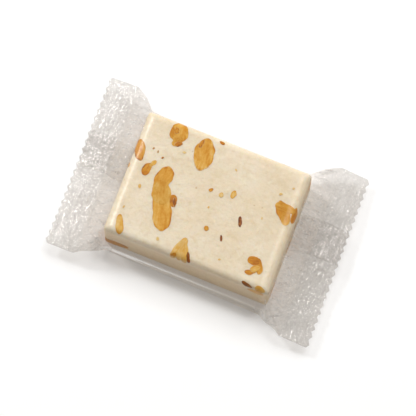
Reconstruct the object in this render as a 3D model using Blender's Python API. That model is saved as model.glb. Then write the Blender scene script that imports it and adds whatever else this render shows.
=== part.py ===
"""A cut block of peanut nougat, sealed in a clear flow wrap with zigzag cut ends.

The bag is shut, so the part is one solid of its true outside: the film drawn tight over the block,
the two ends where the tube of film flattens and spreads, the ribbed end seals with their zigzag cut,
and the back seam, which lies folded flat along the underside.

Film doesn't stretch, so the tube keeps its girth from one end to the other: as it gets lower it gets
wider. A place on it is given by its distance round the film from the film's middle line.

Metres, +Z up. X runs along the wrapper, from one end seal to the other, and Y across it.
The origin is the middle of the underside.
"""

from math import atan, cos, floor, pi, radians, sin, tan

import bmesh
import bpy

# The nougat block inside the film
BLOCK_LENGTH = 0.0393
BLOCK_WIDTH = 0.0293
BLOCK_HEIGHT = 0.0115
EDGE_RADIUS = 0.0016
END_SLANT = -tan(radians(2.0))  # both ends are cut a little off square to the long sides

# Loose film at the foot of the block's long sides, where it stands off as a crease on the table
FRONT_SLACK = 0.0022
BACK_SLACK = 0.0007
FOOT_TAPER = 0.2  # the share by which it is more than that at the right end, and less at the left one
FOOT_SHARPNESS = 0.3  # its crease's radius, as a share of the radius of the film's upper edge

# Each end: the tube flattens over SPREAD_LENGTH, and the end seal runs on from there to the cut
SPREAD_LENGTH = 0.0048
SPREAD_RADIUS = 0.0035  # of the tube's corners, where it spreads and isn't held by the block
SEAL_LENGTH = 0.0064
SEAL_HEIGHT = 0.0040  # of the end seal's middle, above the table, where the seal begins
SEAL_DROOP = 0.0010  # how much lower the cut is
SEAL_THICKNESS = 0.0005
EDGE_RINGS = 4  # from the block's top to where the film leaves its rounded edge
SPREAD_RINGS = 6

# The end seal's ribs run across the film, and its cut is a zigzag
RIB_COUNT = 6
RIB_HEIGHT = 0.00018
TOOTH_COUNT = 22
TOOTH_DEPTH = 0.0006

# The back seam is folded over to one side of the middle. Its places are counted in tooth flanks.
SEAM_FIRST_FLANK = -1
SEAM_LAST_FLANK = 8
FOOT_FLANK = 13  # from here outwards the film under the block is on the table again
SEAM_HEIGHT = 0.00025

# Creases in the film where it spreads, and waves in the end seals
CREASE_DEPTH = 0.00045
CREASE_SPACING = 0.0097
WAVE_HEIGHT = 0.00050
WAVE_LENGTH = 0.0330

FILM_OVER_NOUGAT = (0.83, 0.72, 0.54, 1.0)
FILM_ROUGHNESS = 0.18

HALF_LENGTH = BLOCK_LENGTH / 2
HALF_WIDTH = BLOCK_WIDTH / 2
HALF_HEIGHT = BLOCK_HEIGHT / 2
CORNER_SAVING = 2 - pi / 2  # what a round corner of radius 1 saves over a square one
MEAN_SLACK = (FRONT_SLACK + BACK_SLACK) / 4
HALF_GIRTH = HALF_WIDTH + HALF_HEIGHT - EDGE_RADIUS * CORNER_SAVING + MEAN_SLACK
FLANK = HALF_GIRTH / TOOTH_COUNT
STEEPEST = atan((BLOCK_HEIGHT - SEAL_HEIGHT) / SPREAD_LENGTH)


def clear_objects():
    """Empties the file that the script is run from."""
    for thing in list(bpy.data.objects):
        bpy.data.objects.remove(thing)


def between(start, stop, share):
    """The value a share of the way from start to stop."""
    return start + (stop - start) * share


def section_point(place, lower, half_height, radius, spread, x):
    """(y, height over the section's middle) of a place on the film.

    The section is a rounded rectangle, as wide as the film's girth lets it be at that height. The foot
    of each long side stands a little further out than its top.
    """
    held = 1 - spread
    slack = (FRONT_SLACK if place < 0 else BACK_SLACK) * (1 + FOOT_TAPER * x / HALF_LENGTH) * held
    half_width = HALF_GIRTH - half_height + radius * CORNER_SAVING - MEAN_SLACK * held
    foot_width = half_width + (slack if lower else 0.0)
    corner = radius * (1 - (1 - FOOT_SHARPNESS) * held) if lower else radius
    flat = foot_width - corner
    arc = corner * pi / 2
    distance = abs(place) / HALF_GIRTH * (flat + arc + half_height - corner)
    if distance <= flat:
        y = distance
        drop = 0.0
    elif distance <= flat + arc:
        turn = (distance - flat) / corner
        y = flat + corner * sin(turn)
        drop = corner * (1 - cos(turn))
    else:
        y = foot_width
        drop = corner + distance - flat - arc
    lean = slack / 2 * drop / half_height
    y += -lean if lower else lean
    height = half_height - drop
    return (y if place >= 0 else -y), (-height if lower else height)


def seam_gap(place):
    """How far the film under the block is off the table. It rests at the block's feet and on the seam."""
    flank = round(place / FLANK)
    rests = SEAM_FIRST_FLANK <= flank <= SEAM_LAST_FLANK or abs(flank) >= FOOT_FLANK
    return 0.0 if rests else SEAM_HEIGHT


def crease(place, end, lower):
    """Depth of the creases that run from the block to the end seal. They die out at the film's two edges."""
    turn = 2 * pi * place / CREASE_SPACING
    start = 1.3 * end + (2.1 if lower else 0.0)
    wave = sin(turn + start) + 0.6 * sin(1.67 * turn - 2 * start)
    return CREASE_DEPTH * wave / 1.6 * (1 - (place / HALF_GIRTH) ** 4)


def seal_wave(place, end):
    """Height of the slow waves across an end seal, which differ from end to end."""
    turn = 2 * pi * place / WAVE_LENGTH
    return WAVE_HEIGHT * (sin(turn + 0.9 * end) + 0.4 * sin(2.5 * turn + 2.3 * end))


def tooth(place):
    """How far the zigzag cut stands out at a place."""
    share = (place + HALF_GIRTH) / (2 * FLANK)
    share -= floor(share)
    return TOOTH_DEPTH * (1 - 2 * abs(share - 0.5))


def film_places():
    """Where a ring's points are: at each tip and root of the zigzag, with more round the block's edges."""
    places = [FLANK * k for k in range(-TOOTH_COUNT, TOOTH_COUNT + 1)]
    arc_middle = HALF_WIDTH - EDGE_RADIUS + EDGE_RADIUS * pi / 4
    halfway = [(a + b) / 2 for a, b in zip(places, places[1:])]
    round_edge = [place for place in halfway if abs(abs(place) - arc_middle) < 2 * FLANK]
    return sorted(places + round_edge)


def stations():
    """What each ring of one end needs, from the block to the cut.

    (distance from the block's middle, drop from the block's face, spread, seal, rib): spread runs from 0,
    where the film leaves the block's rounded edge, to 1 at the seal, and seal from 0 there to 1 at the cut.
    """
    rings = []
    for k in range(EDGE_RINGS + 1):
        turn = STEEPEST * k / EDGE_RINGS
        leaves = HALF_LENGTH - EDGE_RADIUS + EDGE_RADIUS * sin(turn)
        drop = EDGE_RADIUS * (1 - cos(turn))
        rings.append((leaves, drop, 0.0, 0.0, 0.0))
    seal_start = HALF_LENGTH + SPREAD_LENGTH
    for k in range(1, SPREAD_RINGS):
        spread = k / SPREAD_RINGS
        rings.append((between(leaves, seal_start, spread), drop * (1 - spread), spread, 0.0, 0.0))
    for k in range(2 * RIB_COUNT + 1):
        seal = k / (2 * RIB_COUNT)
        rib = RIB_HEIGHT if k % 2 else -RIB_HEIGHT
        rings.append((seal_start + SEAL_LENGTH * seal, 0.0, 1.0, seal, rib))
    return rings


def film_point(place, lower, end, station):
    """A point of the film, at one place of one ring of one end."""
    along, drop, spread, seal, rib = station
    half_height = between(HALF_HEIGHT, SEAL_THICKNESS / 2, spread) - drop
    radius = min(half_height, between(EDGE_RADIUS, SPREAD_RADIUS, min(1.0, 2 * spread)))
    y, height = section_point(place, lower, half_height, radius, spread, end * along)
    z = between(HALF_HEIGHT, SEAL_HEIGHT, spread) - SEAL_DROOP * seal + height
    z += seal_wave(place, end) * spread * between(0.4, 1.0, seal)
    z += crease(place, end, lower) * sin(pi * spread) + rib
    if lower:
        z += seam_gap(place) * (1 - spread)
    if seal == 1.0:
        along += tooth(place)
    return end * along + END_SLANT * y, y, z


def join_rings(mesh, inner, outer, ring_places):
    """The film between two rings, split along the way its creases fan out from the block to the seal."""
    for i, place in enumerate(ring_places):
        h = i - 1
        if abs(place) > abs(ring_places[h]):
            mesh.faces.new((inner[h], inner[i], outer[i]))
            mesh.faces.new((inner[h], outer[i], outer[h]))
        else:
            mesh.faces.new((inner[h], inner[i], outer[h]))
            mesh.faces.new((inner[i], outer[i], outer[h]))


def close_cut(mesh, ring, place_count):
    """The narrow face of a zigzag cut, between the film's upper and lower layers."""
    over = ring[:place_count]
    under = [ring[0]] + ring[:place_count - 1:-1] + [ring[place_count - 1]]
    for i in range(1, place_count):
        corners = dict.fromkeys((over[i - 1], over[i], under[i], under[i - 1]))
        mesh.faces.new(list(corners))


def film_end(mesh, places, end):
    """One end of the wrapper, from the block's rounded edge to the cut. Returns its first ring of points.

    A ring goes over the top from one edge of the film to the other, then back underneath.
    """
    ring_places = places + places[-2:0:-1]
    rings = []
    for station in stations():
        points = [film_point(place, False, end, station) for place in places]
        points += [film_point(place, True, end, station) for place in places[-2:0:-1]]
        rings.append([mesh.verts.new(point) for point in points])
    for inner, outer in zip(rings, rings[1:]):
        join_rings(mesh, inner, outer, ring_places)
    close_cut(mesh, rings[-1], len(places))
    return rings[0]


def wrapped_nougat():
    """The sealed wrapper with the block in it: two ends, and the film round the block between them."""
    mesh = bmesh.new()
    places = film_places()
    left = film_end(mesh, places, -1)
    right = film_end(mesh, places, 1)
    join_rings(mesh, left, right, places + places[-2:0:-1])
    bmesh.ops.triangulate(mesh, faces=mesh.faces[:])
    bmesh.ops.recalc_face_normals(mesh, faces=mesh.faces[:])
    data = bpy.data.meshes.new("wrapped_nougat")
    mesh.to_mesh(data)
    mesh.free()
    data.shade_smooth()
    data.set_sharp_from_angle(angle=radians(35))
    return data


def film_material():
    """Cream nougat, seen through glossy clear film."""
    material = bpy.data.materials.new("film_over_nougat")
    material.use_nodes = True
    shader = material.node_tree.nodes["Principled BSDF"]
    shader.inputs["Base Color"].default_value = FILM_OVER_NOUGAT
    shader.inputs["Roughness"].default_value = FILM_ROUGHNESS
    shader.inputs["Metallic"].default_value = 0.0
    return material


clear_objects()
nougat_block = bpy.data.collections.new("nougat_block")
bpy.context.scene.collection.children.link(nougat_block)
film_mesh = wrapped_nougat()
film_mesh.materials.append(film_material())
nougat_block.objects.link(bpy.data.objects.new("wrapped_nougat", film_mesh))
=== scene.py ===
import random
from math import atan2, cos, pi, radians, sin, sqrt, tan

import bmesh
import bpy
from mathutils import Matrix, Vector


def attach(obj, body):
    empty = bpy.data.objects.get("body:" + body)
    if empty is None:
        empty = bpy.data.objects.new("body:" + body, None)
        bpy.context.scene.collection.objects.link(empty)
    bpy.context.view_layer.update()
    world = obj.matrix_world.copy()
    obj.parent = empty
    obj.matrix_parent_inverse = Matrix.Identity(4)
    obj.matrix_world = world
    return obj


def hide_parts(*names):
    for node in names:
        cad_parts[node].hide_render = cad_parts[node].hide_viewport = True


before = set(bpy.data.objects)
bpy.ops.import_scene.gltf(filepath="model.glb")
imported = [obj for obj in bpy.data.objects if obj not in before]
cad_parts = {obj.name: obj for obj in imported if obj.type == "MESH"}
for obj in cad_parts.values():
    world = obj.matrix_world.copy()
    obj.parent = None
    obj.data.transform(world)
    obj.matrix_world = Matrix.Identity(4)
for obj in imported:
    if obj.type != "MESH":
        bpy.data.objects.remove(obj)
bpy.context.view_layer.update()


# The nougat block
# Whipped sugar, honey and egg white with roasted peanuts in it, poured out as a slab and sawn into
# blocks while it is still soft. The cut faces are matt and faintly hollow, and the edges a little blunt.

BLOCK_LENGTH = 0.0393  # over the film
BLOCK_WIDTH = 0.0293
BLOCK_HEIGHT = 0.0115
EDGE_RADIUS = 0.0016
BASE_RADIUS = 0.0006  # how far up the edges round the underside are blunted
END_SLANT = -tan(radians(2.0))
FILM_GAP = 0.00010  # between the nougat and its film
SEAM_GAP = 0.00033  # below the nougat, for the back seam
CELL = 0.00026  # between the nougat's mesh points
# The browner colour of the sides below these heights is painted warm shade.
SIDE_SHADE_LEVEL, TOP_LEVEL = 0.0086, 0.0110  # it is browner up to the first height, and plain from the second
TINY = 0.0000001  # keeps what is divided by from being 0
NOUGAT_CREAM = (238, 225, 200)
NOUGAT_PALE = (245, 236, 217)
NOUGAT_HONEY = (223, 204, 167)
NOUGAT_SPECK = (196, 158, 104)
# the colour of the sides' painted warm shade
NOUGAT_SIDE_SHADE = (233, 204, 160)

HALF_LENGTH = BLOCK_LENGTH / 2
HALF_WIDTH = BLOCK_WIDTH / 2
HALF_HEIGHT = BLOCK_HEIGHT / 2
NOUGAT_HALF = (HALF_LENGTH - FILM_GAP, HALF_WIDTH - FILM_GAP, HALF_HEIGHT - (FILM_GAP + SEAM_GAP) / 2)
NOUGAT_MIDDLE = SEAM_GAP + NOUGAT_HALF[2]


class Value:
    """A socket of a node tree, for use in sums. Every operator adds one Math node to the tree."""

    def __init__(self, recipe, socket):
        self.recipe = recipe
        self.socket = socket

    def math(self, operation, *others):
        return self.recipe.node("ShaderNodeMath", {"operation": operation}, (self, *others))

    def vector(self, operation, *others):
        return self.recipe.node("ShaderNodeVectorMath", {"operation": operation}, (self, *others))

    def output(self, key):
        return Value(self.recipe, find_socket(self.socket.node.outputs, key))

    def clamp(self, low=0.0, high=1.0):
        return self.math("MAXIMUM", low).math("MINIMUM", high)

    def __add__(self, other):
        return self.math("ADD", other)

    def __radd__(self, other):
        return self.math("ADD", other)

    def __sub__(self, other):
        return self.math("SUBTRACT", other)

    def __rsub__(self, other):
        return self.recipe.node("ShaderNodeMath", {"operation": "SUBTRACT"}, (other, self))

    def __mul__(self, other):
        return self.math("MULTIPLY", other)

    def __rmul__(self, other):
        return self.math("MULTIPLY", other)

    def __truediv__(self, other):
        return self.math("DIVIDE", other)

    def __rtruediv__(self, other):
        return self.recipe.node("ShaderNodeMath", {"operation": "DIVIDE"}, (other, self))

    def __pow__(self, other):
        return self.math("POWER", other)

    def __neg__(self):
        return self.math("MULTIPLY", -1.0)


def find_socket(sockets, key):
    """A socket in use, by its name or by its place among those in use."""
    in_use = [socket for socket in sockets if socket.enabled]
    if isinstance(key, int):
        return in_use[key]
    return next(socket for socket in in_use if socket.name == key)


class Recipe:
    """Adds nodes to one tree, of a material or of Geometry Nodes."""

    def __init__(self, tree):
        self.tree = tree

    def node(self, kind, settings=None, inputs=()):
        """A new node, as its first output. Settings come first, then its sockets' values or links."""
        made = self.tree.nodes.new(kind)
        for name, value in (settings or {}).items():
            if name == "stops":
                self.set_stops(made.color_ramp, value)
            else:
                setattr(made, name, value)
        pairs = inputs.items() if isinstance(inputs, dict) else enumerate(inputs)
        for key, value in pairs:
            socket = find_socket(made.inputs, key)
            if isinstance(value, Value):
                self.tree.links.new(value.socket, socket)
            else:
                socket.default_value = value
        outputs = [socket for socket in made.outputs if socket.enabled]
        return Value(self, outputs[0]) if outputs else None

    @staticmethod
    def set_stops(ramp, stops):
        while len(ramp.elements) < len(stops):
            ramp.elements.new(1.0)
        for element, (place, shade) in zip(ramp.elements, stops):
            element.position = place
            element.color = shade

    def mix(self, first, second, share):
        """A colour between two, with share of the second."""
        settings = {"data_type": "RGBA"}
        return self.node("ShaderNodeMix", settings, {"Factor": share, "A": first, "B": second})

    def noise(self, where, scale, detail=2.0, roughness=0.5):
        """Soft noise from 0 to 1, scale being its waves per metre."""
        inputs = {"Vector": where, "Scale": scale, "Detail": detail, "Roughness": roughness}
        return self.node("ShaderNodeTexNoise", None, inputs)

    def spots(self, where, scale, smallest, largest, share, edge):
        """A mask of round spots, 1 inside, which only share of the pattern's cells have.

        Their radii and their soft edge are in metres.
        """
        cells = self.node("ShaderNodeTexVoronoi", None, {"Vector": where, "Scale": scale})
        draw = self.node("ShaderNodeSeparateXYZ", None, (cells.output("Color"),))
        radius = smallest + (largest - smallest) * draw.output("Y")
        inside = ((radius - cells / scale) / edge).clamp()
        return inside * draw.math("LESS_THAN", share)


def colour(red, green, blue):
    """A screen colour, 0 to 255, as the linear colour that nodes take."""
    shares = [value / 255 for value in (red, green, blue)]
    return tuple(s / 12.92 if s <= 0.04045 else ((s + 0.055) / 1.055) ** 2.4 for s in shares) + (1.0,)


def new_material(name):
    """A material's recipe, with nothing but its output node in it."""
    material = bpy.data.materials.new(name)
    material.use_nodes = True
    material.node_tree.nodes.clear()
    return material, Recipe(material.node_tree)


def onto_block(recipe, point, sink):
    """Where a point in the block's own frame ends up: one outside the cut faces is pulled onto them.

    Also gives how far outside it was. sink is how far the face lies below true there. The upright edges
    and those round the underside come out sharper than the top's.
    """
    inner = tuple(half - EDGE_RADIUS for half in NOUGAT_HALF)
    lowest = (-inner[0], -inner[1], BASE_RADIUS - NOUGAT_HALF[2])
    held = point.vector("MINIMUM", inner).vector("MAXIMUM", lowest)
    away = point.vector("SUBTRACT", held)
    squares = recipe.node("ShaderNodeSeparateXYZ", None, (away.vector("MULTIPLY", away),))
    x_square, y_square = squares, squares.output("Y")
    level_square = (x_square * x_square + y_square * y_square).math("SQRT")
    low = recipe.node("ShaderNodeSeparateXYZ", None, (away,)).output("Z").math("LESS_THAN", 0.0)
    z_square = squares.output("Z") * (1.0 + low * ((EDGE_RADIUS / BASE_RADIUS) ** 2 - 1.0))
    distance = (level_square + z_square).math("SQRT")
    reach = distance.math("MINIMUM", EDGE_RADIUS - sink)
    step = recipe.node("ShaderNodeVectorMath", {"operation": "SCALE"}, {
        "Vector": away,
        "Scale": reach / distance.math("MAXIMUM", TINY),
    })
    return held.vector("ADD", step), distance - reach


def nougat_sink(recipe, given, point):
    """How far the nougat's surface lies below true, in hollows and for its grain."""
    hollow = given.output("Hollow Depth") * recipe.noise(point, 95.0)
    return hollow + given.output("Grain Depth") * recipe.noise(point, 1100.0, 3.0, 0.6)


def in_place(recipe, point):
    """From the block's own frame to the part's: the slant of its ends, and up onto the table."""
    axes = recipe.node("ShaderNodeSeparateXYZ", None, (point,))
    return recipe.node("ShaderNodeCombineXYZ", None, (
        axes + END_SLANT * axes.output("Y"),
        axes.output("Y"),
        axes.output("Z") + NOUGAT_MIDDLE,
    ))


def grow(name, start, sizes, material, build):
    """A plain mesh object from a Geometry Nodes tree with named sizes, which build fills in.

    start is the mesh that the tree begins with.
    """
    tree = bpy.data.node_groups.new(name, "GeometryNodeTree")
    tree.interface.new_socket(name="Geometry", in_out="INPUT", socket_type="NodeSocketGeometry")
    tree.interface.new_socket(name="Geometry", in_out="OUTPUT", socket_type="NodeSocketGeometry")
    identifiers = {}
    for size in sizes:
        socket = tree.interface.new_socket(name=size, in_out="INPUT", socket_type="NodeSocketFloat")
        identifiers[size] = socket.identifier
    recipe = Recipe(tree)
    given = recipe.node("NodeGroupInput")
    shape = build(recipe, given)
    shape = recipe.node("GeometryNodeRealizeInstances", None, (shape,))
    shape = recipe.node("GeometryNodeSetMaterial", None, {"Geometry": shape, "Material": material})
    recipe.node("NodeGroupOutput", None, (shape,))

    piece = bpy.data.objects.new(name, start)
    bpy.context.scene.collection.objects.link(piece)
    modifier = piece.modifiers.new(name, "NODES")
    modifier.node_group = tree
    for size, value in sizes.items():
        modifier[identifiers[size]] = value
    graph = bpy.context.evaluated_depsgraph_get()
    evaluated = piece.evaluated_get(graph)
    plain = bpy.data.meshes.new_from_object(evaluated, preserve_all_data_layers=True, depsgraph=graph)
    piece.modifiers.clear()
    piece.data = plain
    plain.name = name
    face_outwards(plain)
    plain.shade_smooth()
    plain.set_sharp_from_angle(angle=radians(50))
    return piece


def face_outwards(data):
    """Turns a closed mesh's faces outwards."""
    work = bmesh.new()
    work.from_mesh(data)
    bmesh.ops.recalc_face_normals(work, faces=work.faces[:])
    work.to_mesh(data)
    work.free()


def nougat_shape(recipe, given):
    """A finely divided box, drawn in to the block's rounded edges, with hollows and open air bubbles."""
    counts = {
        "Size": tuple(2 * half for half in NOUGAT_HALF),
        "Vertices X": round(BLOCK_LENGTH / CELL),
        "Vertices Y": round(BLOCK_WIDTH / CELL),
        "Vertices Z": round(BLOCK_HEIGHT / CELL),
    }
    box = recipe.node("GeometryNodeMeshCube", None, counts)
    place = recipe.node("GeometryNodeInputPosition")
    flush, _ = onto_block(recipe, place, 0.0)
    bubbles = given.output("Bubble Depth") * recipe.spots(place, 380.0, 0.00018, 0.00055, 0.30, 0.00030)
    point, _ = onto_block(recipe, place, nougat_sink(recipe, given, flush) + bubbles)
    return recipe.node("GeometryNodeSetPosition", None, {
        "Geometry": box,
        "Position": in_place(recipe, point),
    })


def rise(value, start, stop):
    """0 up to start and 1 from stop on, and even in between."""
    return ((value - start) / (stop - start)).clamp()


def fall(value, start, stop):
    """1 up to start and 0 from stop on, and even in between."""
    return 1.0 - rise(value, start, stop)


def nougat_material():
    """Matt cream, clouded where the whip was richer, with fine grain and specks of nut.

    The sides are a little browner than the top: this is painted warm shade.
    """
    material, recipe = new_material("cut_nougat")
    where = recipe.node("ShaderNodeTexCoord").output("Object")
    clouds = recipe.noise(where, 130.0, 4.0, 0.6)
    fine = recipe.noise(where, 1000.0, 4.0, 0.7)
    rich = recipe.noise(where, 260.0, 4.0, 0.65)
    shade = recipe.mix(colour(*NOUGAT_CREAM), colour(*NOUGAT_PALE), rise(clouds, 0.40, 0.65))
    shade = recipe.mix(shade, colour(*NOUGAT_HONEY), rise(rich, 0.50, 0.70) * 0.6)
    shade = recipe.mix(shade, colour(*NOUGAT_HONEY), rise(fine, 0.52, 0.72) * 0.5)
    shade = recipe.mix(shade, colour(*NOUGAT_PALE), fall(fine, 0.267, 0.433) * 0.7)
    level = recipe.node("ShaderNodeSeparateXYZ", None, (where,)).output("Z") + (clouds - 0.5) * 0.0004
    # Painted warm shade: below the top's rounding, the sides are mixed towards a browner colour.
    shade = recipe.mix(shade, colour(*NOUGAT_SIDE_SHADE), fall(level, SIDE_SHADE_LEVEL, TOP_LEVEL) * 0.6)
    specks = recipe.spots(where, 520.0, 0.00008, 0.00030, 0.16, 0.00012)
    shade = recipe.mix(shade, colour(*NOUGAT_SPECK), specks * 0.55)
    relief = fine * 0.00012 + recipe.noise(where, 420.0, 2.0, 0.6) * 0.0002
    normal = recipe.node("ShaderNodeBump", None, {"Strength": 1.0, "Distance": 1.0, "Height": relief})
    body = recipe.node("ShaderNodeBsdfPrincipled", None, {
        "Base Color": shade,
        "Roughness": 0.5 + 0.2 * clouds,
        "Subsurface Weight": 0.25,
        "Subsurface Radius": (0.004, 0.0028, 0.0016),
        "Subsurface Scale": 0.6,
        "Normal": normal,
    })
    recipe.node("ShaderNodeOutputMaterial", None, {"Surface": body})
    return material


face_sizes = {"Hollow Depth": 0.00012, "Grain Depth": 0.00004}
nougat_sizes = face_sizes | {"Bubble Depth": 0.00014}
empty_start = bpy.data.meshes.new("start")
nougat = grow("nougat_block", empty_start, nougat_sizes, nougat_material(), nougat_shape)
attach(nougat, "root")
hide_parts("wrapped_nougat")


# The peanuts
# Roasted kernels, whole and in halves, stirred into the hot nougat. The saw goes through those that
# lie in its way, so each shows as a flat tan cut face, and some of them on two sides of an edge.

KERNEL_DEEP = 4.6  # millimetres through a large kernel, at right angles to the face that it shows in
KERNEL_DEPTH_SHARE = 1.6  # the same for a small one, as a share of its breadth
KERNEL_SUNK = 0.2  # how far the middle of a kernel lies behind that face, as a share of its depth
NEAREST = 0.55  # how near to each other random lumps may lie, as a share of their two lengths
RUN_TOGETHER = 0.4  # lumps nearer than this share of their half sizes run into each other
PEANUT_PROUD = 0.00003  # how far the cut faces stand above the nougat
LIFT_STEP = 0.000008  # between the heights of lumps that run into each other
SMEAR_WIDTH = 0.00016  # of the nougat smeared over a lump's rim, and of the browner ring inside it
RING_WIDTH = 0.00065

# Across, along, breadth and length of each cut in millimetres from the middle of its face, its turn in
# degrees, how brown it is from 0 to 1, and how plain the split between its two halves is
TOP_KERNELS = [
    (-11.4, 12.1, 4.1, 4.8, 100, 0.50, 0.0),
    (-11.1, 10.0, 2.0, 3.0, 60, 0.58, 0.4),
    (-4.6, 9.7, 4.5, 7.6, 95, 0.44, 0.15),
    (-18.0, 5.1, 2.6, 4.8, 105, 0.56, 0.7),
    (-15.2, 1.9, 1.9, 3.6, 72, 0.66, 0.5),
    (-14.4, 3.4, 1.3, 2.0, 60, 0.40, 0.0),
    (-11.0, 0.9, 3.8, 6.2, 80, 0.48, 0.0),
    (-10.3, -1.9, 4.2, 5.4, 108, 0.46, 0.0),
    (-9.1, -5.0, 4.3, 10.4, 109, 0.44, 0.3),
    (-7.2, -2.8, 1.5, 2.8, 108, 0.80, 0.0),
    (-16.4, -12.1, 1.5, 4.0, 106, 0.28, 0.0),
    (-2.5, -12.6, 1.9, 5.2, 70, 0.28, 0.0),
    (-1.6, -12.0, 1.9, 5.2, 90, 0.22, 0.3),
    (-0.8, -12.5, 1.7, 4.6, 110, 0.28, 0.0),
    (0.3, -13.4, 0.8, 2.6, 112, 1.0, 0.0),
    (16.5, 5.2, 2.2, 4.6, 178, 0.56, 0.0),
    (15.9, 4.3, 2.0, 4.6, 121, 0.60, 0.0),
    (17.2, 3.5, 1.9, 3.8, 100, 0.50, 0.0),
    (18.9, 4.5, 1.3, 3.4, 92, 0.70, 0.0),
    (14.0, -8.7, 2.3, 2.7, 15, 0.74, 0.0),
    (15.5, -9.5, 1.6, 3.8, 115, 0.54, 0.0),
    (14.1, -11.2, 1.6, 2.8, 15, 0.62, 0.0),
    (14.5, -14.3, 0.9, 2.6, 160, 0.95, 0.0),
]
FRONT_KERNELS = [
    (-16.2, -3.2, 2.6, 4.8, 5, 0.66, 0.0),
    (16.6, 3.2, 2.2, 3.6, 175, 0.40, 0.0),
]
RIGHT_KERNELS = [
    (4.1, -1.5, 2.0, 4.6, 95, 0.62, 0.0),
]


# For each face, the two directions that a place on it is given in, and the axis that it is the end of
FACES = {
    "top": (Vector((1, 0, 0)), Vector((0, 1, 0)), 2),
    "underside": (Vector((1, 0, 0)), Vector((0, -1, 0)), 2),
    "front": (Vector((1, 0, 0)), Vector((0, 0, 1)), 1),
    "back": (Vector((-1, 0, 0)), Vector((0, 0, 1)), 1),
    "left": (Vector((0, -1, 0)), Vector((0, 0, 1)), 0),
    "right": (Vector((0, 1, 0)), Vector((0, 0, 1)), 0),
}


def cut_lump(face, row, deep, sunk):
    """A lump whose cut face on one of the block's faces has the place and size that the row gives."""
    across, along, breadth, length, turn, brown, split = row
    right, up, axis = FACES[face]
    outward = right.cross(up)
    shown = sqrt(1 - (2 * sunk / deep) ** 2)
    place = across * right + along * up + (NOUGAT_HALF[axis] * 1000 - sunk) * outward
    halves = (breadth / 2 / shown, length / 2 / shown, deep / 2)
    stand = Matrix((right, up, outward)).transposed() @ Matrix.Rotation(radians(turn - 90), 3, "Z")
    return place, halves, tuple(stand.to_euler()), brown, split


def kernel(face, row):
    """A lump that is a peanut, whole or in part."""
    deep = min(KERNEL_DEEP, KERNEL_DEPTH_SHARE * row[2])
    return cut_lump(face, row, deep, deep * KERNEL_SUNK)


def scatter(draw, face, count, row_drawn):
    """Rows of lumps at random places of a face, none near another and none over the top's edges."""
    right, up, _ = FACES[face]
    reach = [abs(right.dot(Vector(NOUGAT_HALF))) * 1000, abs(up.dot(Vector(NOUGAT_HALF))) * 1000]
    rows = []
    taken = []
    while len(rows) < count:
        size = row_drawn(draw)
        spot = Vector([draw.uniform(-side, side) for side in reach])
        over_top = face != "underside" and spot.y + size[1] / 2 > reach[1]
        apart = all((spot - other).length > NEAREST * (size[1] + length) for other, length in taken)
        if apart and not over_top:
            taken.append((spot, size[1]))
            rows.append((*spot, *size))
    return rows


def kernel_drawn(draw):
    """The size, turn, brownness and split of a peanut that is cut somewhere."""
    breadth = draw.uniform(2.6, 5.4)
    length = breadth * draw.uniform(1.1, 1.8)
    return breadth, length, draw.uniform(0, 180), draw.uniform(0.35, 0.68), draw.choice((0.0, 0.0, 0.5))


placed_kernels = {"top": TOP_KERNELS, "front": FRONT_KERNELS, "right": RIGHT_KERNELS}
kernels = [kernel(face, row) for face, rows in placed_kernels.items() for row in rows]
draw = random.Random(12)
for face, count in {"underside": 7, "back": 3, "left": 2}.items():
    kernels += [kernel(face, row) for row in scatter(draw, face, count, kernel_drawn)]


def rims_shown(lumps, lifts):
    """Whether each lump's rim shows, 1 or 0: it doesn't if the lump lies over part of another."""
    shown = []
    for (place, halves, *_), lift in zip(lumps, lifts):
        over = any(
            lift > other_lift
            and (place - other).length < RUN_TOGETHER * (sum(halves[:2]) + sum(other_halves[:2]))
            for (other, other_halves, *_), other_lift in zip(lumps, lifts)
        )
        shown.append(0.0 if over else 1.0)
    return shown


def lump_start(name, lumps):
    """A mesh with one point for each lump, which carries its half sizes, turn, brownness and split.

    Lumps that run into each other lie at slightly different heights, so that one of them shows.
    """
    places, halves, turns, browns, splits = zip(*lumps)
    start = bpy.data.meshes.new(name)
    start.from_pydata([Vector(place) / 1000 for place in places], [], [])
    vectors = {"halves": [Vector(half) / 1000 for half in halves], "turns": turns}
    for key, rows in vectors.items():
        attribute_data = start.attributes.new(key, "FLOAT_VECTOR", "POINT").data
        attribute_data.foreach_set("vector", [value for row in rows for value in row])
    lifts = [(k % 4) * LIFT_STEP for k in range(len(lumps))]
    rims = rims_shown(lumps, lifts)
    for key, row in {"brown": browns, "split": splits, "lift": lifts, "rim": rims}.items():
        start.attributes.new(key, "FLOAT", "POINT").data.foreach_set("value", row)
    return start


def named(recipe, kind, name):
    """An attribute's field, in Geometry Nodes."""
    return recipe.node("GeometryNodeInputNamedAttribute", {"data_type": kind}, {"Name": name})


def keep(recipe, shape, kind, name, value):
    """Stores a field on a shape's points under a name."""
    settings = {"data_type": kind, "domain": "POINT"}
    inputs = {"Geometry": shape, "Name": name, "Value": value}
    return recipe.node("GeometryNodeStoreNamedAttribute", settings, inputs)


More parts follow.
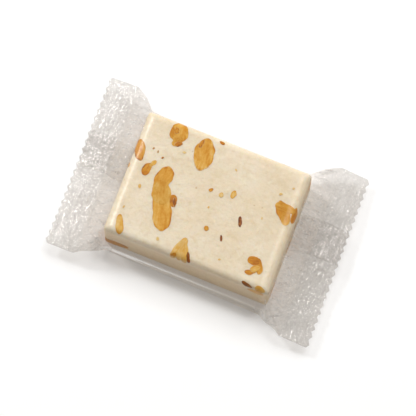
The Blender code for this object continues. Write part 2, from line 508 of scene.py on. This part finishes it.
def cut_pieces(fineness):
    """The shape of lumps in the nougat, one for each start point, cut off flush with the block's faces."""

    def build(recipe, given):
        lump = recipe.node("GeometryNodeMeshIcoSphere", None, {"Radius": 1.0, "Subdivisions": fineness})
        place = recipe.node("GeometryNodeInputPosition")
        lump = keep(recipe, lump, "FLOAT_VECTOR", "lump", place)
        points = recipe.node("GeometryNodeMeshToPoints", None, {"Mesh": given.output("Geometry")})
        turn = recipe.node("FunctionNodeEulerToRotation", None, (named(recipe, "FLOAT_VECTOR", "turns"),))
        lumps = recipe.node("GeometryNodeInstanceOnPoints", None, {
            "Points": points,
            "Instance": lump,
            "Rotation": turn,
            "Scale": named(recipe, "FLOAT_VECTOR", "halves"),
        })
        lumps = recipe.node("GeometryNodeRealizeInstances", None, (lumps,))
        swell = (recipe.noise(place, given.output("Lump Waves"), 2.0) - 0.5) * given.output("Unevenness")
        normal = recipe.node("GeometryNodeInputNormal")
        offset = recipe.node("ShaderNodeVectorMath", {"operation": "SCALE"}, {
            "Vector": normal,
            "Scale": swell,
        })
        lumps = recipe.node("GeometryNodeSetPosition", None, {"Geometry": lumps, "Offset": offset})
        axes = recipe.node("ShaderNodeSeparateXYZ", None, (named(recipe, "FLOAT_VECTOR", "lump"),))
        bend = (recipe.noise(place, 500.0, 1.0) - 0.5) * 0.5
        groove = (1.0 - (axes + bend).math("ABSOLUTE") / 0.10).clamp() * named(recipe, "FLOAT", "split")
        flush, _ = onto_block(recipe, place, 0.0)
        sink = nougat_sink(recipe, given, flush) + groove * given.output("Split Depth")
        sink = sink - given.output("Proud") - named(recipe, "FLOAT", "lift")
        point, outside = onto_block(recipe, place, sink)
        lumps = keep(recipe, lumps, "FLOAT", "cut_depth", outside)
        lumps = keep(recipe, lumps, "FLOAT", "groove", groove)
        return recipe.node("GeometryNodeSetPosition", None, {
            "Geometry": lumps,
            "Position": in_place(recipe, point),
        })

    return build


def attribute(recipe, name):
    """A number that a mesh's points carry, in a material."""
    return recipe.node("ShaderNodeAttribute", {"attribute_name": name}).output("Fac")


def peanut_material():
    """Roasted peanut, tan where it is cut and browner at its rim, where some nougat is smeared over it."""
    material, recipe = new_material("roasted_peanut")
    where = recipe.node("ShaderNodeTexCoord").output("Object")
    patches = recipe.noise(where, 420.0, 3.0, 0.6)
    fine = recipe.noise(where, 2400.0, 3.0, 0.7)
    lump = recipe.node("ShaderNodeAttribute", {"attribute_name": "lump"}).output("Vector")
    along_lump = lump.vector("MULTIPLY", (2.2, 0.7, 0.0))
    stretched = along_lump.vector("ADD", where.vector("MULTIPLY", (90.0, 90.0, 90.0)))
    grain = recipe.noise(stretched, 1.6, 3.0, 0.6)
    flat = lump.vector("MULTIPLY", (1.0, 1.0, 0.0)).vector("LENGTH")
    heart = fall(flat + (fine - 0.5) * 0.2, 0.05, 0.35)
    depth = attribute(recipe, "cut_depth") + (fine - 0.5) * 0.00016 + (patches - 0.5) * 0.0002
    rim = attribute(recipe, "rim")
    ring = fall(depth, 0.00010, RING_WIDTH) * rise(grain, 0.35, 0.6) * rim
    brown = attribute(recipe, "brown") + (patches - 0.5) * 0.8 + (fine - 0.5) * 0.3 + (grain - 0.5) * 0.8
    brown = brown + ring * 0.3 + attribute(recipe, "groove") * 0.2 + heart * attribute(recipe, "split") * 0.2
    shade = recipe.node("ShaderNodeValToRGB", {"stops": [
        (0.0, colour(236, 210, 150)),
        (0.35, colour(227, 177, 82)),
        (0.6, colour(212, 147, 40)),
        (0.85, colour(190, 114, 26)),
        (1.0, colour(138, 78, 22)),
    ]}, (brown,))
    shade = recipe.mix(shade, colour(*NOUGAT_HONEY), fall(depth, 0.0, SMEAR_WIDTH) * rim * 0.75)
    normal = recipe.node("ShaderNodeBump", None, {
        "Strength": 0.3,
        "Distance": 0.0001,
        "Height": fine * 0.6 + patches * 0.4,
    })
    body = recipe.node("ShaderNodeBsdfPrincipled", None, {
        "Base Color": shade,
        "Roughness": 0.38 + 0.2 * patches,
        "Subsurface Weight": 0.1,
        "Subsurface Radius": (0.003, 0.002, 0.001),
        "Subsurface Scale": 0.4,
        "Normal": normal,
    })
    recipe.node("ShaderNodeOutputMaterial", None, {"Surface": body})
    return material


peanut_sizes = {"Lump Waves": 240.0, "Unevenness": 0.0018, "Split Depth": 0.00002, "Proud": PEANUT_PROUD}
peanut_finish = peanut_material()
kernel_start = lump_start("kernels", kernels)
peanuts = grow("peanuts", kernel_start, face_sizes | peanut_sizes, peanut_finish, cut_pieces(5))
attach(peanuts, "root")


# The nut crumbs
# Chips that broke off the peanuts as they were stirred in. They are cut flush like the kernels, and most
# of them are browner, because they took more of the roast.

CRUMB_DEPTH_SHARE = 1.2  # millimetres through a crumb, as a share of its breadth
CRUMB_SUNK = 0.15  # how far its middle lies behind the face, as a share of its depth

# The same measures as the peanuts'. Some of these lie on a peanut, as patches of another brown.
TOP_CRUMBS = [
    (4.7, 3.6, 1.3, 1.9, 80, 0.35, 0.0),
    (-0.3, 2.7, 0.9, 1.1, 20, 0.56, 0.0),
    (2.2, 2.4, 1.0, 1.2, 80, 0.05, 0.0),
    (1.8, -5.8, 1.1, 1.2, 120, 0.62, 0.0),
    (-1.7, 13.6, 0.8, 1.2, 160, 0.75, 0.0),
    (-15.5, 6.6, 0.4, 0.6, 60, 0.70, 0.0),
    (-14.3, 6.3, 0.4, 0.7, 110, 0.75, 0.0),
    (-12.8, 5.4, 0.5, 0.7, 50, 0.65, 0.0),
    (-8.7, 8.4, 0.5, 0.8, 20, 0.10, 0.0),
    (-15.3, -2.5, 0.7, 1.0, 100, 0.10, 0.0),
    (-16.9, -8.2, 0.4, 0.7, 80, 0.10, 0.0),
    (0.6, -1.2, 0.4, 0.5, 80, 0.10, 0.0),
    (3.4, 8.9, 0.4, 0.7, 140, 0.05, 0.0),
    (-7.4, -12.0, 0.7, 1.0, 120, 0.0, 0.0),
    (6.9, -11.2, 0.4, 0.6, 30, 0.05, 0.0),
    (14.4, 7.6, 0.6, 0.8, 30, 0.08, 0.0),
    (12.4, 1.0, 0.3, 0.5, 120, 0.10, 0.0),
    (16.6, 9.8, 0.5, 0.7, 40, 0.0, 0.0),
    (17.5, -14.2, 1.6, 2.4, 170, 0.30, 0.0),
    (14.9, -10.2, 1.5, 2.2, 35, 0.30, 0.0),
    (-12.1, 12.3, 1.2, 1.5, 100, 0.66, 0.0),
    (-12.8, 11.7, 0.9, 2.3, 108, 0.66, 0.0),
    (-10.7, 9.6, 1.1, 1.9, 30, 0.70, 0.0),
    (-5.9, 11.6, 0.9, 2.2, 80, 0.60, 0.0),
    (-2.9, -14.2, 0.9, 1.5, 60, 0.66, 0.0),
    (-6.8, -3.0, 0.8, 2.2, 108, 0.84, 0.0),
]


def crumb(face, row):
    """A lump that is a chip of nut or a flake of skin."""
    deep = CRUMB_DEPTH_SHARE * row[2]
    return cut_lump(face, row, deep, deep * CRUMB_SUNK)


def crumb_drawn(draw):
    """The size, turn and brownness of a crumb. Small ones are the most common."""
    breadth = 0.35 + 0.9 * draw.random() ** 3
    return breadth, breadth * draw.uniform(1.0, 1.7), draw.uniform(0, 180), draw.uniform(0.3, 1.0), 0.0


crumbs = [crumb("top", row) for row in TOP_CRUMBS]
draw = random.Random(5)
for face, count in {"underside": 34, "back": 12, "left": 9, "right": 9}.items():
    crumbs += [crumb(face, row) for row in scatter(draw, face, count, crumb_drawn)]
crumb_sizes = {"Lump Waves": 900.0, "Unevenness": 0.0005, "Split Depth": 0.0, "Proud": 2 * PEANUT_PROUD}
crumb_start = lump_start("crumbs", crumbs)
nut_crumbs = grow("nut_crumbs", crumb_start, face_sizes | crumb_sizes, peanut_finish, cut_pieces(3))
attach(nut_crumbs, "root")


# The peanut skins
# Flakes of the thin red-brown skin that came off in roasting. The cut goes through them, so each shows
# as a dark dash.

TOP_SKINS = [
    (8.2, -1.6, 0.8, 2.4, 110, 0.75, 0.0),
    (5.6, -6.6, 0.5, 1.3, 112, 0.55, 0.0),
]


def skin_drawn(draw):
    """The size, turn and shade of a flake of skin."""
    length = draw.uniform(0.7, 2.2)
    return length * draw.uniform(0.2, 0.4), length, draw.uniform(0, 180), draw.uniform(0.2, 0.9), 0.0


def skin_material():
    """Thin red-brown peanut skin, papery and paler where it is worn."""
    material, recipe = new_material("brown_skin")
    where = recipe.node("ShaderNodeTexCoord").output("Object")
    worn = recipe.noise(where, 1600.0, 3.0, 0.6)
    body = recipe.node("ShaderNodeBsdfPrincipled", None, {
        "Base Color": recipe.mix(colour(112, 54, 22), colour(176, 112, 58), rise(worn, 0.4, 0.733)),
        "Roughness": 0.4 + 0.3 * worn,
    })
    recipe.node("ShaderNodeOutputMaterial", None, {"Surface": body})
    return material


skins = [crumb("top", row) for row in TOP_SKINS]
draw = random.Random(9)
for face, count in {"underside": 9, "back": 3, "left": 2, "right": 2}.items():
    skins += [crumb(face, row) for row in scatter(draw, face, count, skin_drawn)]
skin_sizes = {"Lump Waves": 1200.0, "Unevenness": 0.0005, "Split Depth": 0.0, "Proud": 0.00004}
skin_start = lump_start("skins", skins)
peanut_skins = grow("peanut_skins", skin_start, face_sizes | skin_sizes, skin_material(), cut_pieces(3))
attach(peanut_skins, "root")


# The film
# A tube of clear polypropylene film, sealed to itself along the back and pinched shut at both ends. It
# is drawn tight over the block, creases where it flattens to the end seals, and is cut in a zigzag.

FRONT_SLACK = 0.0022  # how far the film's foot stands out from the block's front, where it is loose
BACK_SLACK = 0.0007
FOOT_TAPER = 0.2  # the share by which it is more than that at the right end, and less at the left one
FLARE = 7.0  # how suddenly it bends out near the table: 1 for an even lean
FOOT_SHARPNESS = 0.3  # the radius of the corner at the foot, as a share of the one at the top
SPREAD_LENGTH = 0.0048  # from the block's end to the end seal
SPREAD_RADIUS = 0.0035  # of the tube's corners there
SEAL_LENGTH = 0.0064
SEAL_HEIGHT = 0.0040  # of the end seal's middle above the table, where it begins
SEAL_DROOP = 0.0010  # how much lower the cut is
SEAL_GAP = 0.00010  # between the two layers of an end seal
RIB_COUNT = 6
RIB_HEIGHT = 0.00007
TOOTH_COUNT = 22
TOOTH_DEPTH = 0.0006
CREASE_DEPTH = 0.00045
CREASE_SPACING = 0.0097
WAVE_HEIGHT = 0.00050
WAVE_LENGTH = 0.0330
SEAM_PLACES = (-0.00093, 0.00744)  # of the back seam's two edges, round the film from its middle
SEAM_CLEARANCE = 0.00002  # between the film and the back seam
SEAM_LINES = 0.00055  # from one fine line of the back seam to the next
FOOT_PLACE = 0.0116  # under the block, the film is off the table as far out as this
FILM_TINT = (0.94, 0.926, 0.91, 1.0)
SEAM_TINT = (0.98, 0.976, 0.972, 1.0)
MIRROR_WHITE = (0.95, 0.95, 0.95, 1.0)
# the grey of the film's milkiness, darkened to paint the shade of light that creases and seals bend away
HAZE_SHADE_GREY = (0.60, 0.575, 0.55, 1.0)

CORNER_SAVING = 2 - pi / 2
MEAN_SLACK = (FRONT_SLACK + BACK_SLACK) / 4
HALF_GIRTH = HALF_WIDTH + HALF_HEIGHT - EDGE_RADIUS * CORNER_SAVING + MEAN_SLACK
FLANK = HALF_GIRTH / TOOTH_COUNT
STEEPEST = atan2(BLOCK_HEIGHT - SEAL_HEIGHT, SPREAD_LENGTH)
EDGE_FROM, SPREAD_FROM, SEAL_FROM = 0.24, 0.28, 0.60  # shares of the rings, from the middle to a cut
HALF_RINGS = 125
POINTS_ROUND = 16 * TOOTH_COUNT
SEAM_POINTS = POINTS_ROUND // 6
WELD = 0.000002  # points nearer to each other than this become one


def sine(turn):
    return turn.math("SINE")


def cosine(turn):
    return turn.math("COSINE")


def film_section(place, lower, half_height, radius, spread, taper):
    """(y, height) of a place round the film, in a rounded rectangle as wide as the film's girth allows.

    Along the long sides it hugs the block and flares out near the table.
    """
    side = 2.0 * place.math("GREATER_THAN", 0.0) - 1.0
    slack = (FRONT_SLACK + BACK_SLACK) / 2 - side * ((FRONT_SLACK - BACK_SLACK) / 2)
    slack = slack * (1.0 + taper) * (1.0 - spread)
    half_width = HALF_GIRTH - half_height + radius * CORNER_SAVING - MEAN_SLACK * (1.0 - spread)
    corner = radius * (1.0 - (1.0 - FOOT_SHARPNESS) * lower * (1.0 - spread))
    flat = half_width + slack * lower - corner
    arc = corner * (pi / 2)
    distance = place.math("ABSOLUTE") / HALF_GIRTH * (flat + arc + half_height - corner)
    turn = ((distance - flat) / corner).clamp(0.0, pi / 2)
    drop = corner * (1.0 - cosine(turn)) + (distance - flat - arc).math("MAXIMUM", 0.0)
    facing = 1.0 - 2.0 * lower
    down = lower + facing * drop / (2.0 * half_height)
    across = distance.math("MINIMUM", flat) + corner * sine(turn) + slack * (down ** FLARE - lower)
    return across * side, (half_height - drop) * facing


def film_foot(lower, half_height, height, spread):
    """1 in a strip a little above the film's feet, where it bends out, and 0 off it."""
    drop = half_height - height.math("ABSOLUTE")
    return rise(drop, 0.00035, 0.00055) * fall(drop, 0.0010, 0.0013) * lower * fall(spread, 0.0, 0.3)


def ridged(recipe, where, scale):
    """Noise with sharp ridges, from 0 to 1, as film has where it is creased."""
    return 1.0 - (2.0 * recipe.noise(where, scale, 1.0, 0.5) - 1.0).math("ABSOLUTE") * 2.2


def film_waves(recipe, given, place, lower, end, along, spread, seal):
    """Height of all that the film does of its own: slow waves, creases, crumpling and the seal's ribs."""
    turn = place * (2 * pi / WAVE_LENGTH)
    wave = WAVE_HEIGHT * (sine(turn + 0.9 * end) + 0.4 * sine(2.5 * turn + 2.3 * end))
    turn = place * (2 * pi / CREASE_SPACING)
    start = 1.3 * end + 2.1 * lower
    folds = sine(turn + start) + 0.6 * sine(1.67 * turn - 2.0 * start)
    folds = folds * (CREASE_DEPTH / 1.6) * (1.0 - (place / HALF_GIRTH) ** 4.0)
    loose = sine(spread * pi)
    layer = recipe.node("ShaderNodeCombineXYZ", None, (along * end * 0.3, place, lower * 0.05 + end * 0.1))
    fine = (ridged(recipe, layer, 420.0) ** 2.0 - 0.5) * given.output("Fine Creases") * loose
    both = recipe.node("ShaderNodeCombineXYZ", None, (along * end, place, end * 0.1))
    layers = end * 0.1 + lower * (1.0 - spread)
    apart = recipe.node("ShaderNodeCombineXYZ", None, (along * end, place, layers))
    crumple = (ridged(recipe, apart, 330.0) - 0.6) * given.output("Crumpling")
    crumple = crumple + (ridged(recipe, apart, 800.0) - 0.6) * given.output("Fine Crumpling")
    crumple = crumple * rise(spread, 0.0, 0.5)
    uneven = 2.2 * recipe.noise(both, 190.0, 1.0) - 0.3
    pinched = rise(seal, 0.0, 0.06)
    ribs = -cosine(seal * (2 * pi * RIB_COUNT)) * RIB_HEIGHT * uneven * pinched
    return wave * spread * (0.4 + 0.6 * seal) + folds * loose + fine + crumple + ribs


def film_sheet(middle, reach, is_seam):
    """The shape of a closed sheet of the film, between two places round it and as long as the wrapper.

    The wrapper itself is a tube, and the back seam a strip under it, twice as thick as film.
    """

    def build(recipe, given):
        grid = recipe.node("GeometryNodeMeshGrid", None, {
            "Size X": 2.0,
            "Size Y": 1.0,
            "Vertices X": 2 * HALF_RINGS + 1,
            "Vertices Y": (SEAM_POINTS if is_seam else POINTS_ROUND) + 1,
        })
        axes = recipe.node("ShaderNodeSeparateXYZ", None, (recipe.node("GeometryNodeInputPosition"),))
        end = axes.math("SIGN")
        ring = axes.math("ABSOLUTE")
        share = 1.0 - 4.0 * axes.output("Y").math("ABSOLUTE")
        second = axes.output("Y").math("GREATER_THAN", 0.0)
        place = middle + reach * share
        lower = 1.0 if is_seam else second

        turn = rise(ring, EDGE_FROM, SPREAD_FROM) * STEEPEST
        spread = rise(ring, SPREAD_FROM, SEAL_FROM)
        seal = rise(ring, SEAL_FROM, 1.0)
        shut = ring.math("GREATER_THAN", 0.9999)
        leaves = HALF_LENGTH - EDGE_RADIUS + EDGE_RADIUS * sin(STEEPEST)
        along = rise(ring, 0.0, EDGE_FROM) * (HALF_LENGTH - EDGE_RADIUS) + sine(turn) * EDGE_RADIUS
        along = along + spread * (HALF_LENGTH + SPREAD_LENGTH - leaves) + seal * SEAL_LENGTH
        drop = (1.0 - cosine(turn)) * EDGE_RADIUS * (1.0 - spread)

        half_height = HALF_HEIGHT + (SEAL_GAP / 2 - HALF_HEIGHT) * spread - drop
        radius = EDGE_RADIUS + (SPREAD_RADIUS - EDGE_RADIUS) * rise(spread, 0.0, 0.5)
        radius = radius.math("MINIMUM", half_height)
        taper = along * end * (FOOT_TAPER / HALF_LENGTH)
        across, height = film_section(place, lower, half_height, radius, spread, taper)
        foot = film_foot(lower, half_height, height, spread)
        level = HALF_HEIGHT + (SEAL_HEIGHT - HALF_HEIGHT) * spread - SEAL_DROOP * seal
        raised = fall(place.math("ABSOLUTE"), FOOT_PLACE, FOOT_PLACE + FLANK / 2) * lower * (1.0 - spread)
        raised = raised * given.output("Seam Height")
        waves = film_waves(recipe, given, place, lower, end, along, spread, seal)
        if is_seam:
            swell = rise(1.0 - share.math("ABSOLUTE"), 0.0, 0.08)
            lines = 0.85 + 0.15 * sine(place * (2 * pi / SEAM_LINES))
            under = second * swell * given.output("Seam Thickness") * lines
            height = height - SEAM_CLEARANCE - under * (1.0 - shut)
        else:
            height = height * (1.0 - shut)
        tooth_share = ((place + HALF_GIRTH) / (2 * FLANK)).math("FRACT")
        tooth = TOOTH_DEPTH * (1.0 - 2.0 * (tooth_share - 0.5).math("ABSOLUTE"))
        along = along + tooth * rise(seal, 0.9, 1.0)

        own = recipe.node("ShaderNodeCombineXYZ", None, (along * end, place, second * 0.05))
        sheet = keep(recipe, grid, "FLOAT_VECTOR", "film_place", own)
        sheet = keep(recipe, sheet, "FLOAT", "spread", spread)
        sheet = keep(recipe, sheet, "FLOAT", "foot", foot)
        sheet = keep(recipe, sheet, "FLOAT", "seal", seal)
        point = recipe.node("ShaderNodeCombineXYZ", None, (
            along * end + across * END_SLANT,
            across,
            level + height + raised + waves,
        ))
        sheet = recipe.node("GeometryNodeSetPosition", None, {"Geometry": sheet, "Position": point})
        return recipe.node("GeometryNodeMergeByDistance", None, {"Geometry": sheet, "Distance": WELD})

    return build


def film_material(name, milk_and_shade, tint):
    """Clear film: it mirrors what it meets at a slant, and is milky where creased or sealed, its grey partly
    painted shade.
    """
    material, recipe = new_material(name)
    own = recipe.node("ShaderNodeAttribute", {"attribute_name": "film_place"}).output("Vector")
    seal = rise(attribute(recipe, "spread"), 0.6, 1.0)
    loose = rise(attribute(recipe, "spread"), 0.0, 0.15)
    facing = recipe.node("ShaderNodeLayerWeight").output("Facing")
    streaks = rise(recipe.noise(own.vector("MULTIPLY", (1.0, 0.25, 1.0)), 900.0, 3.0, 0.6), 0.456, 0.75)
    patches = recipe.noise(own, 300.0, 4.0, 0.65)
    grain = rise(recipe.noise(own, 1700.0, 2.0, 0.6), 0.333, 0.667)
    creases = rise(recipe.noise(own.vector("MULTIPLY", (0.35, 1.0, 1.0)), 800.0, 3.0, 0.65), 0.48, 0.68)
    mirror = 0.045 + 0.6 * facing ** 10.0 + 0.09 * loose * patches
    # Milky haze, in a grey that is partly painted shade: it darkens the film over the white table.
    haze_and_shade = loose * (1.0 - seal) * (0.08 + 0.66 * creases * patches)
    haze_and_shade = haze_and_shade + seal * (0.05 + 0.26 * streaks * patches + 0.12 * grain)
    haze_and_shade = haze_and_shade * milk_and_shade
    mirror = mirror + 0.45 * attribute(recipe, "foot")
    opacity = (mirror + haze_and_shade).clamp()
    share = haze_and_shade / (mirror + haze_and_shade)
    pulls = recipe.noise(own.vector("MULTIPLY", (0.3, 1.0, 1.0)), 260.0, 3.0, 0.55)
    axes = recipe.node("ShaderNodeSeparateXYZ", None, (own,))
    off_edge = rise(axes.math("ABSOLUTE"), HALF_LENGTH - 0.0030, HALF_LENGTH - 0.0008)
    relief = pulls * (0.00010 + 0.00012 * loose) + (streaks * 0.00011 + grain * 0.00004) * seal
    relief = relief + creases * 0.00006 * loose
    relief = relief - off_edge * off_edge * 0.00035 * (0.4 + 1.2 * patches)
    normal = recipe.node("ShaderNodeBump", None, {"Strength": 1.0, "Distance": 1.0, "Height": relief})
    gloss = recipe.node("ShaderNodeBsdfPrincipled", None, {
        "Base Color": recipe.mix(MIRROR_WHITE, HAZE_SHADE_GREY, share),
        "Metallic": 1.0 - share,
        "Roughness": 0.08 + 0.04 * seal + 0.26 * rise(off_edge, 0.0, 0.3) * (1.0 - loose),
        "Normal": normal,
    })
    clear = recipe.node("ShaderNodeBsdfTransparent", None, {"Color": tint})
    surface = recipe.node("ShaderNodeMixShader", None, (opacity, clear, gloss))
    recipe.node("ShaderNodeOutputMaterial", None, {"Surface": surface})
    return material


film_sizes = {
    "Fine Creases": 0.00040,
    "Crumpling": 0.00034,
    "Fine Crumpling": 0.00014,
    "Seam Height": 0.00025,
    "Seam Thickness": 0.00018,
}
film_finish = film_material("clear_film", 1.0, FILM_TINT)
seam_finish = film_material("clear_seam", 0.3, SEAM_TINT)
film = grow("film", empty_start, film_sizes, film_finish, film_sheet(0.0, HALF_GIRTH, False))
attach(film, "root")
seam_middle = sum(SEAM_PLACES) / 2
seam_reach = (SEAM_PLACES[1] - SEAM_PLACES[0]) / 2
seam = grow("back_seam", empty_start, film_sizes, seam_finish, film_sheet(seam_middle, seam_reach, True))
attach(seam, "root")


# The studio
# A white table under three soft lamps, one at the left and two above and behind. The pale walls all round
# are lighter than the ceiling. The camera looks steeply down, through a long lens.

TABLE_WHITE = (0.75, 0.75, 0.75, 1.0)
TABLE_GLOW = 0.22
WALL_CREAM = (1.0, 0.91, 0.79, 1.0)
WALL_LIGHT, CEILING_LIGHT = 0.55, 0.10
CAMERA_AZIMUTH = 22.4
CAMERA_ELEVATION = 75.0
CAMERA_DISTANCE = 0.70
FRAME_WIDTH = 0.092  # of what the picture shows, at the sweet
SENSOR_WIDTH = 36.0

bpy.ops.mesh.primitive_plane_add(size=3.0)
table = bpy.context.active_object
table.name = "table"
table.location.z = -0.00002
table_material, recipe = new_material("white_table")
table_body = recipe.node("ShaderNodeBsdfPrincipled", None, {
    "Base Color": TABLE_WHITE,
    "Roughness": 0.6,
    "Emission Color": (1.0, 1.0, 1.0, 1.0),
    "Emission Strength": TABLE_GLOW,
})
recipe.node("ShaderNodeOutputMaterial", None, {"Surface": table_body})
table.data.materials.append(table_material)

scene = bpy.context.scene
world = bpy.data.worlds.new("pale_walls")
world.use_nodes = True
recipe = Recipe(world.node_tree)
upwards = recipe.node("ShaderNodeSeparateXYZ", None, (recipe.node("ShaderNodeTexCoord"),)).output("Z")
background = world.node_tree.nodes["Background"]
background.inputs["Color"].default_value = WALL_CREAM
strength = CEILING_LIGHT + (WALL_LIGHT - CEILING_LIGHT) * fall(upwards, 0.05, 0.5)
world.node_tree.links.new(strength.socket, background.inputs["Strength"])
scene.world = world
scene.view_settings.view_transform = "Standard"
scene.cycles.transparent_max_bounces = 32


def aim(thing, place, target):
    """Puts a lamp or a camera at a place and turns it to a target."""
    thing.location = place
    thing.rotation_euler = (Vector(target) - Vector(place)).to_track_quat("-Z", "Y").to_euler()
    scene.collection.objects.link(thing)


# Name, place, breadth and length in metres, power in watts, and whether glossy things mirror it
LAMPS = [
    ("key_lamp", (-0.60, 0.22, 0.64), 0.17, 0.16, 3.7, True),
    ("top_lamp", (0.0, 0.52, 0.82), 0.60, 0.50, 6.6, False),
    ("side_lamp", (0.22, 0.34, 0.88), 0.10, 0.17, 1.3, True),
]
for name, place, breadth, length, power, mirrored in LAMPS:
    lamp = bpy.data.lights.new(name, "AREA")
    lamp.shape = "RECTANGLE"
    lamp.size = breadth
    lamp.size_y = length
    lamp.energy = power
    lamp_object = bpy.data.objects.new(name, lamp)
    lamp_object.visible_glossy = mirrored
    aim(lamp_object, place, (0.0, 0.0, 0.0))

middle = Vector((0.0, 0.0, HALF_HEIGHT))
azimuth, elevation = radians(CAMERA_AZIMUTH), radians(CAMERA_ELEVATION)
back = Vector((sin(azimuth) * cos(elevation), -cos(azimuth) * cos(elevation), sin(elevation)))
camera = bpy.data.cameras.new("camera")
camera.sensor_width = SENSOR_WIDTH
camera.lens = SENSOR_WIDTH * CAMERA_DISTANCE / FRAME_WIDTH
camera_object = bpy.data.objects.new("camera", camera)
aim(camera_object, middle + CAMERA_DISTANCE * back, middle)
scene.camera = camera_object
